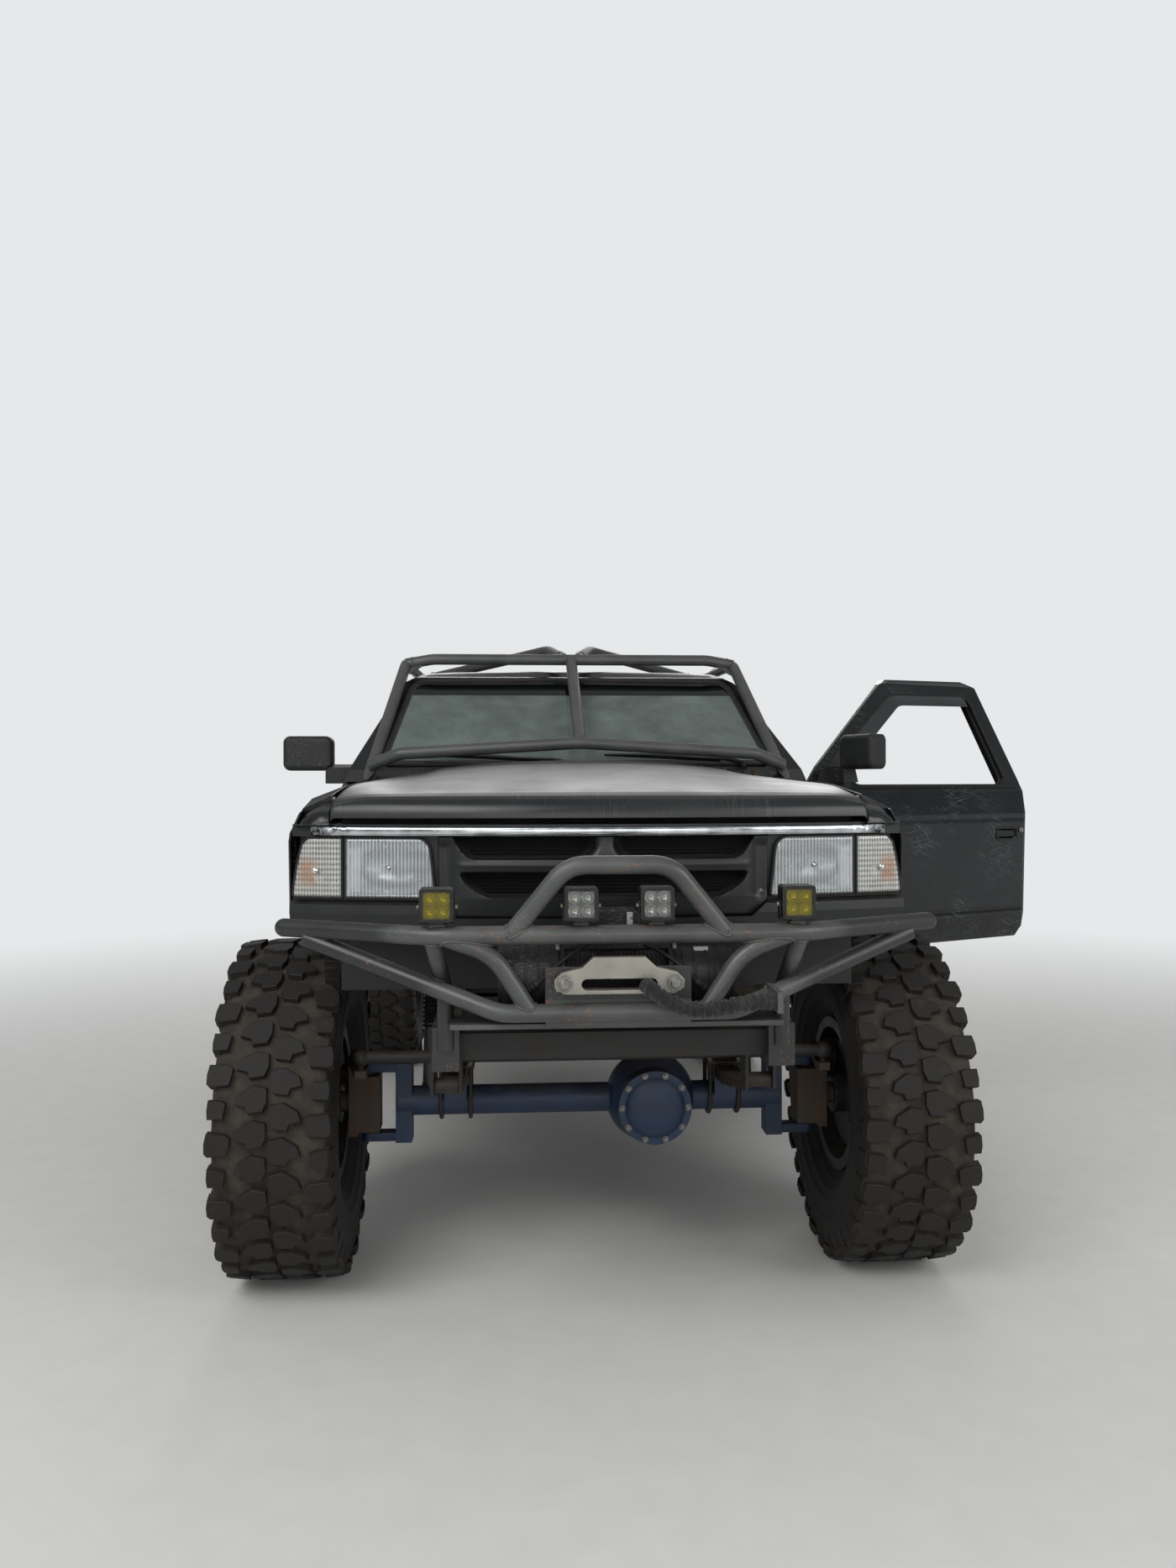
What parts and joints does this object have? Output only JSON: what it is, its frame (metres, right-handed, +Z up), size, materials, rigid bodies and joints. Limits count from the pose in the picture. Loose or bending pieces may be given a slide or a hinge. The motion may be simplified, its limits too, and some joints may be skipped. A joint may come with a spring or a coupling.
{
  "type": "pickup truck",
  "caption": "Lifted off-road pickup with a tube cage outside its cab, winch bumper, mud tyres, live axles, opening doors, bonnet and tailgate.",
  "frame": {"origin": "on the floor under the middle of the whole vehicle's box, with the left door open as it rests; the vehicle's own centre plane lies at x = -0.402 m", "axes": "+X to the vehicle's left, +Y rearwards along the vehicle, +Z up from the floor"},
  "size_m": [2.975, 5.029, 2.0822],
  "materials": {
    "rubber": "dusty rubber",
    "steel_wheel": "satin black paint, dusty",
    "axle_paint": "dark blue paint, dusty",
    "cast": "bare cast iron, lightly rusted",
    "frame_paint": "black paint, dusty",
    "spring_steel": "worn black paint",
    "tube_grey": "satin grey paint, scratched",
    "winch_plastic": "textured black plastic",
    "fairlead_metal": "worn anodised aluminium",
    "rope_fibre": "black woven sleeve",
    "pod_housing": "black finned aluminium",
    "pod_lens": "clear and yellow lenses",
    "lamp_lens": "clear ribbed lens",
    "black_plastic": "moulded black plastic",
    "chrome_trim": "bright trim, worn ends",
    "body_paint": "dark charcoal paint, dusty and scratched",
    "bonnet_paint": "faded satin charcoal paint",
    "window_glass": "green-grey glass",
    "dash_plastic": "grained grey plastic",
    "seat_cloth": "grey woven cloth",
    "tail_red": "red lens",
    "engine_block": "oily cast metal",
    "exhaust_steel": "rusty steel",
    "tank_plastic": "black plastic",
    "radiator_metal": "finned aluminium"
  },
  "bodies": {
    "chassis": {"bed_box": "body_paint", "bench_seat": "seat_cloth", "bright_trim": "chrome_trim", "cab_glass": "window_glass", "cab_shell": "body_paint", "cage_braces": "tube_grey", "cage_crossbars": "tube_grey", "cage_screen_guard": "tube_grey", "cage_side_tubes": "tube_grey", "dashboard": "dash_plastic", "driveshafts": "frame_paint", "engine_gearbox": "engine_block", "exhaust": "exhaust_steel", "fairlead": "fairlead_metal", "front_axle": "axle_paint", "front_bumper": "tube_grey", "front_fenders": "body_paint", "front_panel": "black_plastic", "fuel_tank": "tank_plastic", "grille": "black_plastic", "headlamps": "lamp_lens", "ladder_frame": "frame_paint", "leaf_springs": "spring_steel", "marker_lamps": "lamp_lens", "pod_housings": "pod_housing", "pod_lenses": "pod_lens", "radiator": "radiator_metal", "rear_axle": "axle_paint", "rear_bumper": "tube_grey", "rock_sliders": "tube_grey", "shock_absorbers": "tube_grey", "tail_lamps": "tail_red", "winch": "winch_plastic", "winch_rope": "rope_fibre"},
    "knuckle_left": {"knuckle_left": "cast"},
    "knuckle_right": {"knuckle_right": "cast"},
    "tie_rod": {"tie_rod": "frame_paint"},
    "wheel_front_left": {"tyre_front_left": "rubber", "wheel_front_left": "steel_wheel"},
    "wheel_front_right": {"tyre_front_right": "rubber", "wheel_front_right": "steel_wheel"},
    "wheel_rear_left": {"tyre_rear_left": "rubber", "wheel_rear_left": "steel_wheel"},
    "wheel_rear_right": {"tyre_rear_right": "rubber", "wheel_rear_right": "steel_wheel"},
    "steering_wheel": {"steering_wheel": "dash_plastic"},
    "bonnet": {"bonnet": "bonnet_paint"},
    "door_left": {"door_left": "body_paint", "mirror_left": "black_plastic"},
    "door_right": {"door_right": "body_paint", "door_glass_right": "window_glass", "mirror_right": "black_plastic"},
    "tailgate": {"tailgate": "body_paint"}
  },
  "joints": [
    {"name": "steer_left", "type": "hinge", "parent": "chassis", "child": "knuckle_left", "pos_m": [0.28753, -1.4135, 0.50755], "axis": [0, 0, 1], "range_deg": [-28, 28]},
    {"name": "steer_right", "type": "hinge", "parent": "chassis", "child": "knuckle_right", "pos_m": [-1.09247, -1.4135, 0.50755], "axis": [0, 0, 1], "range_deg": [-28, 28]},
    {"name": "tie_rod_pivot", "type": "hinge", "parent": "knuckle_left", "child": "tie_rod", "pos_m": [0.28753, -1.6285, 0.65755], "axis": [0, 0, 1], "range_deg": [-28, 28]},
    {"name": "steering_wheel_turn", "type": "hinge", "parent": "chassis", "child": "steering_wheel", "pos_m": [-0.04247, -0.5015, 1.34655], "axis": [0, 0.9063, 0.4226], "range_deg": [-340, 340]},
    {"name": "bonnet_hinge", "type": "hinge", "parent": "chassis", "child": "bonnet", "pos_m": [-0.40247, -0.9395, 1.54455], "axis": [-1, 0, 0], "range_deg": [0, 45]},
    {"name": "door_left_hinge", "type": "hinge", "parent": "chassis", "child": "door_left", "pos_m": [0.46553, -0.8235, 1.23855], "axis": [0, 0, 1], "range_deg": [0, 65]},
    {"name": "door_right_hinge", "type": "hinge", "parent": "chassis", "child": "door_right", "pos_m": [-1.27047, -0.8235, 1.23855], "axis": [0, 0, 1], "range_deg": [0, 65]},
    {"name": "tailgate_hinge", "type": "hinge", "parent": "chassis", "child": "tailgate", "pos_m": [-0.40247, 2.3365, 1.00655], "axis": [-1, 0, 0], "range_deg": [0, 90]},
    {"name": "spin_front_left", "type": "hinge", "parent": "knuckle_left", "child": "wheel_front_left", "pos_m": [0.50253, -1.4135, 0.50755], "axis": [1, 0, 0], "continuous": true},
    {"name": "spin_front_right", "type": "hinge", "parent": "knuckle_right", "child": "wheel_front_right", "pos_m": [-1.30747, -1.4135, 0.50755], "axis": [1, 0, 0], "continuous": true},
    {"name": "spin_rear_left", "type": "hinge", "parent": "chassis", "child": "wheel_rear_left", "pos_m": [0.50253, 1.3295, 0.50755], "axis": [1, 0, 0], "continuous": true},
    {"name": "spin_rear_right", "type": "hinge", "parent": "chassis", "child": "wheel_rear_right", "pos_m": [-1.30747, 1.3295, 0.50755], "axis": [1, 0, 0], "continuous": true}
  ],
  "couplings": [
    {"joint": "steer_right", "follows": "steer_left", "ratio": 1},
    {"joint": "tie_rod_pivot", "follows": "steer_left", "ratio": -1},
    {"joint": "steering_wheel_turn", "follows": "steer_left", "ratio": 12}
  ]
}
